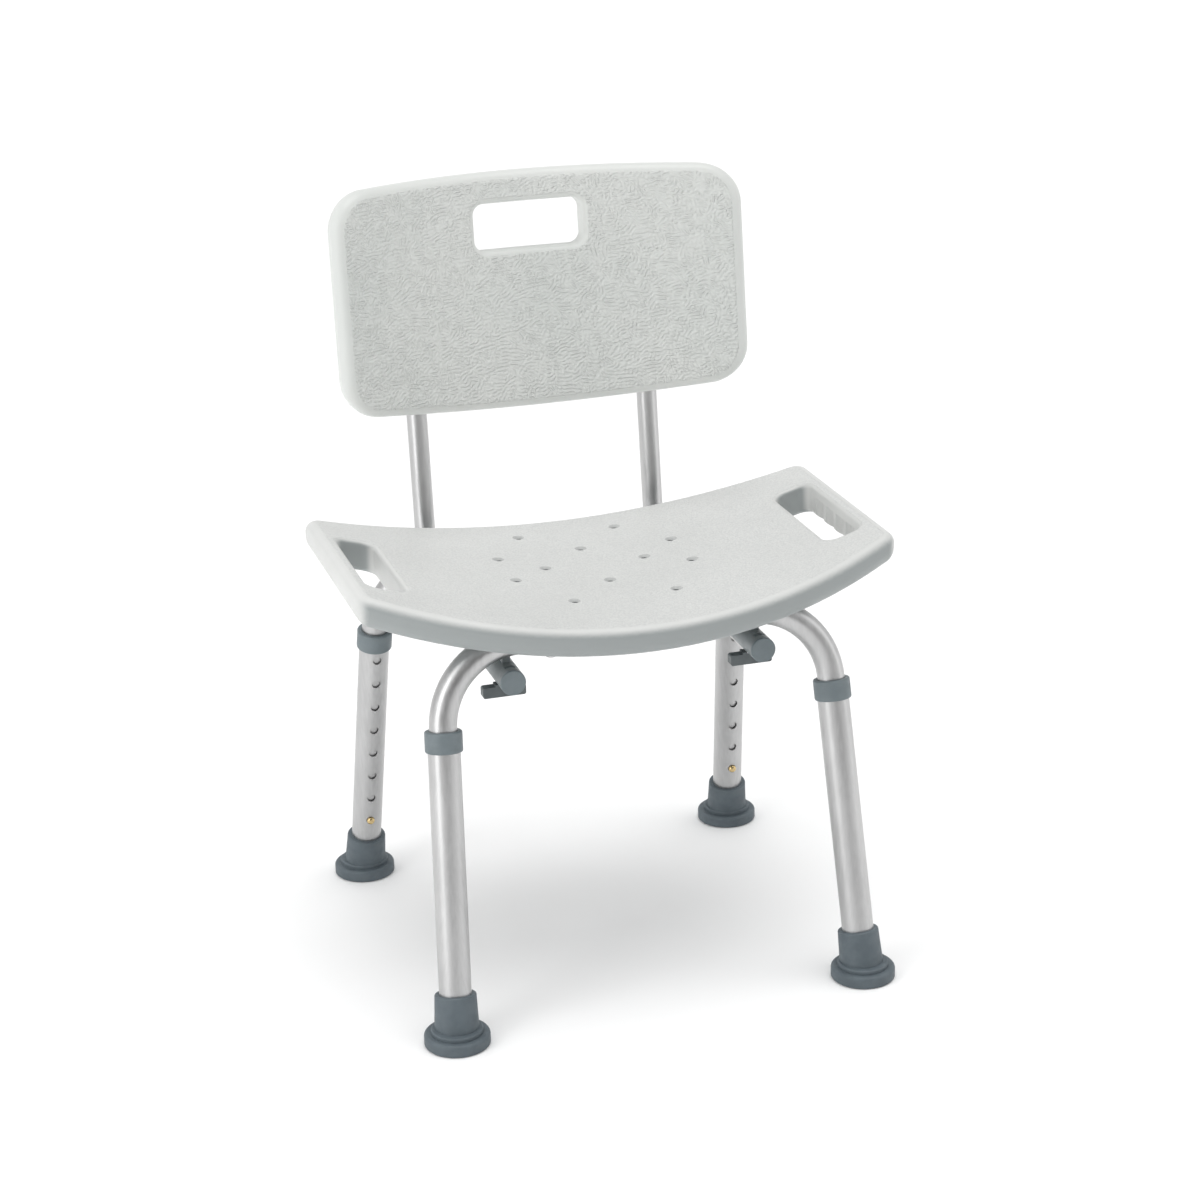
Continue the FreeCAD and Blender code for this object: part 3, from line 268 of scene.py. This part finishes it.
def make_panel_plastic():
    """Pale grey, with a crinkle of short curved ridges on the front face only, and painted shade in the
    grooves between the ridges.
    """
    nodes = new_material("panel_plastic")
    normal, place = surface(nodes)
    forward = nodes.ramp(normal["Y"], -0.3, -0.6)
    mask = nodes.times(face_mask(nodes, normal, place, PANEL_RADIUS, "Z", PANEL_LEAN), forward)
    gabor = nodes.add(
        "ShaderNodeTexGabor", gabor_type="3D", Vector=nodes.coords(), Scale=96, Frequency=3.2,
        Anisotropy=0.0)
    crinkle = gabor.outputs["Value"]
    ridges = nodes.times(nodes.ramp(crinkle, 0.3, 0.72), mask)
    groove_shade = nodes.times(nodes.ramp(crinkle, 0.5, 0.25, 0, 0.1), mask)
    colour = nodes.mix(nodes.spread(nodes.noise(7)), tone(209, 212, 209), tone(215, 217, 214))
    # painted shade: the crinkle's grooves are darkened as if they were in shade
    colour = nodes.mix(groove_shade, colour, tone(176, 180, 178))
    sheen = nodes.spread(nodes.noise(80), 0.38, 0.48)
    return nodes.finish(Base_Color=colour, Roughness=sheen, Normal=nodes.bump(ridges, depth=0.001))


# ---------------------------------------------------------------- frame, trim and fasteners


def make_aluminium():
    """Satin anodised tube, with faint lines along the way it was drawn."""
    nodes = new_material("aluminium_upright")
    shade = (190, 190, 190)
    lines = nodes.noise(420, detail=4, rough=0.6, stretch=(1, 1, 0.04))
    cloud = nodes.noise(16, detail=2)
    streaks = nodes.math("ADD", nodes.times(lines, 0.6), nodes.times(cloud, 0.4))
    colour = nodes.mix(nodes.ramp(streaks, 0.35, 0.65), shifted(shade, -6), shifted(shade, 5))
    sheen = nodes.spread(lines, 0.32, 0.42)
    scratches = nodes.bump(lines, depth=0.00002)
    return nodes.finish(Base_Color=colour, Metallic=1.0, Roughness=sheen, Normal=scratches)


def make_moulded(name, shade, rough=(0.42, 0.58)):
    """Matt moulded plastic or rubber, a little uneven in colour and sheen."""
    nodes = new_material(name)
    cloud = nodes.spread(nodes.noise(45, detail=4, rough=0.6))
    colour = nodes.mix(cloud, shifted(shade, -5), shifted(shade, 5))
    sheen = nodes.spread(nodes.noise(120), *rough)
    grain = nodes.bump(nodes.noise(1400, detail=2), depth=0.00004)
    return nodes.finish(Base_Color=colour, Roughness=sheen, Normal=grain)


def make_metal(name, shade, rough=(0.2, 0.34)):
    """The small turned, coiled or stamped metal pieces."""
    nodes = new_material(name)
    cloud = nodes.noise(260)
    colour = nodes.mix(cloud, shifted(shade, -8), shifted(shade, 6))
    sheen = nodes.spread(cloud, *rough)
    grain = nodes.bump(nodes.noise(900, detail=2), depth=0.00001)
    return nodes.finish(Base_Color=colour, Metallic=1.0, Roughness=sheen, Normal=grain)


def paint(name, material):
    slots = NODES[name].data.materials
    if not slots:
        slots.append(material)
    for i in range(len(slots)):
        slots[i] = material


def paint_all():
    """Gives each node the first material here that goes with the start of its name."""
    looks = (
        (make_metal("brass_button", (214, 190, 140)), ("snap_button", "seat_inserts")),
        (make_metal("spring_steel", (190, 190, 188)),
         ("button_spring", "tip_washer", "lock_spring", "lock_rivet")),
        (make_metal("screw_steel", (205, 205, 205), rough=(0.14, 0.26)),
         ("seat_screws", "panel_screws", "lock_pin")),
        (make_moulded("lock_grey", (92, 99, 101)), ("lock_tab",)),
        (make_moulded("rubber_tip", (86, 96, 102), rough=(0.5, 0.68)), ("foot_tip",)),
        (make_moulded("grey_trim", (110, 120, 124)),
         ("collar", "saddle_washers", "receiver_cap", "post_plug")),
        (make_moulded("grey_housing", (122, 129, 131), rough=(0.34, 0.46)), ("receiver",)),
        (make_aluminium(), ("leg_tube", "front_leg_frame", "rear_leg_frame", "back_post")),
        (make_seat_plastic(), ("seat",)),
        (make_panel_plastic(), ("backrest_panel",)),
    )
    for name in NODES:
        paint(name, next(material for material, starts in looks if name.startswith(starts)))


# ---------------------------------------------------------------- floor and studio


def make_floor_paint():
    nodes = new_material("floor_paint")
    colour = nodes.mix(nodes.noise(3, detail=2), tone(250, 250, 250), tone(252, 252, 252))
    return nodes.finish(Base_Color=colour, Roughness=0.9, Specular_IOR_Level=0.1)


def make_floor():
    mesh = bpy.data.meshes.new("floor")
    signs = ((-1, -1), (1, -1), (1, 1), (-1, 1))
    mesh.from_pydata([(x * FLOOR_HALF, y * FLOOR_HALF, 0) for x, y in signs], [], [(0, 1, 2, 3)])
    mesh.materials.append(make_floor_paint())
    floor = link(bpy.data.objects.new("floor", mesh))
    floor.location.z = -FLOOR_GAP


def make_world():
    """A white studio: bright all round and overhead, and dimmer to the front."""
    nodes = Nodes(bpy.data.worlds.new("studio"), "Background")
    toward = nodes.split(nodes.add("ShaderNodeTexCoord").outputs["Generated"])
    beside_or_behind = nodes.math("MAXIMUM", nodes.absolute(toward["X"]), toward["Y"])
    walls = nodes.ramp(beside_or_behind, *FRONT_FADE, DIM_FRONT, BRIGHT_SIDES)
    strength = nodes.math("MULTIPLY_ADD", toward["Z"], OVERHEAD, walls)
    bpy.context.scene.world = nodes.finish(Color=(1, 1, 1, 1), Strength=strength)
    bpy.context.scene.view_settings.view_transform = "Standard"


make_world()
make_floor()
make_camera()
make_sun(toward=(0.1, -0.1, 1.6), power=1.5, spread=44)
soft_light("left_light", place=(-1.9, -0.9, 1.0), size=(0.9, 2.0), power=14)
soft_light("right_light", place=(2.1, -0.7, 0.9), size=(0.9, 2.0), power=4)
paint_all()
